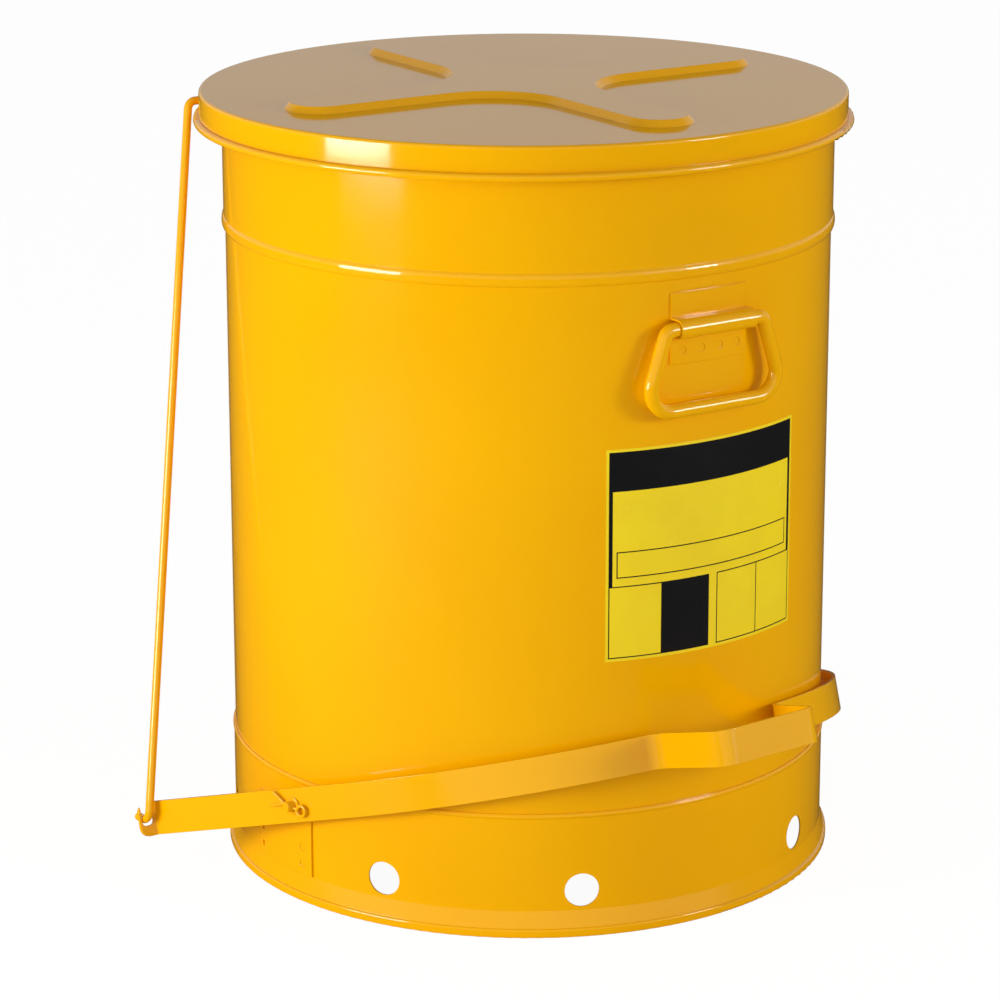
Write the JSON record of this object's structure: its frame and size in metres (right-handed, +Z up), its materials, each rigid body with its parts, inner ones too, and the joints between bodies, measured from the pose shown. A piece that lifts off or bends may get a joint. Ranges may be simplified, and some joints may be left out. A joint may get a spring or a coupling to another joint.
{
  "type": "foot-operated oily waste can",
  "caption": "Round steel safety can for oily rags: raised vented base, hinged overhanging lid with a raised cross, pedal lever with lift rod, and swinging carrying handles.",
  "frame": {"origin": "where the can's axis meets the floor", "axes": "+Z up; the pedal, the label and the front handle face -Y; the lid's hinge is at +Y; +X is to the right seen from the pedal"},
  "size_m": [0.5599, 0.5785, 0.6],
  "materials": {
    "yellow_paint": "gloss yellow baked paint, inside and out",
    "zinc": "zinc-plated steel",
    "label": "gloss printed film, blank"
  },
  "bodies": {
    "can": {"body_shell": "yellow_paint", "bottom_pan": "yellow_paint", "base_ring": "yellow_paint", "hinge_leaf_body": "yellow_paint", "hinge_pin": "zinc", "hinge_rivets_body": "yellow_paint", "pivot_bracket_left": "yellow_paint", "pivot_bracket_right": "yellow_paint", "handle_strap_front": "yellow_paint", "handle_strap_rear": "yellow_paint", "blank_label": "label"},
    "lid": {"lid_cover": "yellow_paint", "hinge_leaf_lid": "yellow_paint", "hinge_rivets_lid": "yellow_paint"},
    "pedal": {"pedal_lever": "yellow_paint", "pivot_pin_left": "yellow_paint", "pivot_pin_right": "yellow_paint", "pivot_washer_left": "yellow_paint", "pivot_washer_right": "yellow_paint", "pivot_cotter_left": "yellow_paint", "pivot_cotter_right": "yellow_paint"},
    "rod": {"lift_rod": "yellow_paint", "rod_top_clip": "zinc"},
    "front_bail": {"handle_front": "yellow_paint"},
    "rear_bail": {"handle_rear": "yellow_paint"}
  },
  "joints": [
    {"name": "lid_open", "type": "hinge", "parent": "can", "child": "lid", "pos_m": [0, 0.2595, 0.584], "axis": [-1, 0, 0], "range_deg": [0, 50]},
    {"name": "pedal_press", "type": "hinge", "parent": "can", "child": "pedal", "pos_m": [0, -0.039, 0.082], "axis": [1, 0, 0], "range_deg": [0, 28.95]},
    {"name": "rod_swing", "type": "hinge", "parent": "lid", "child": "rod", "pos_m": [0, 0.1795, 0.5775], "axis": [1, 0, 0], "range_deg": [0, 48.3]},
    {"name": "front_handle_swing", "type": "hinge", "parent": "can", "child": "front_bail", "pos_m": [-0.0062, -0.23667, 0.4575], "axis": [-0.9997, 0.0262, 0], "range_deg": [0, 165]},
    {"name": "rear_handle_swing", "type": "hinge", "parent": "can", "child": "rear_bail", "pos_m": [0, 0.23675, 0.4575], "axis": [1, 0, 0], "range_deg": [0, 165]}
  ],
  "couplings": [
    {"joint": "pedal_press", "follows": "lid_open", "ratio": 0.5788},
    {"joint": "rod_swing", "follows": "lid_open", "ratio": 0.96557}
  ]
}
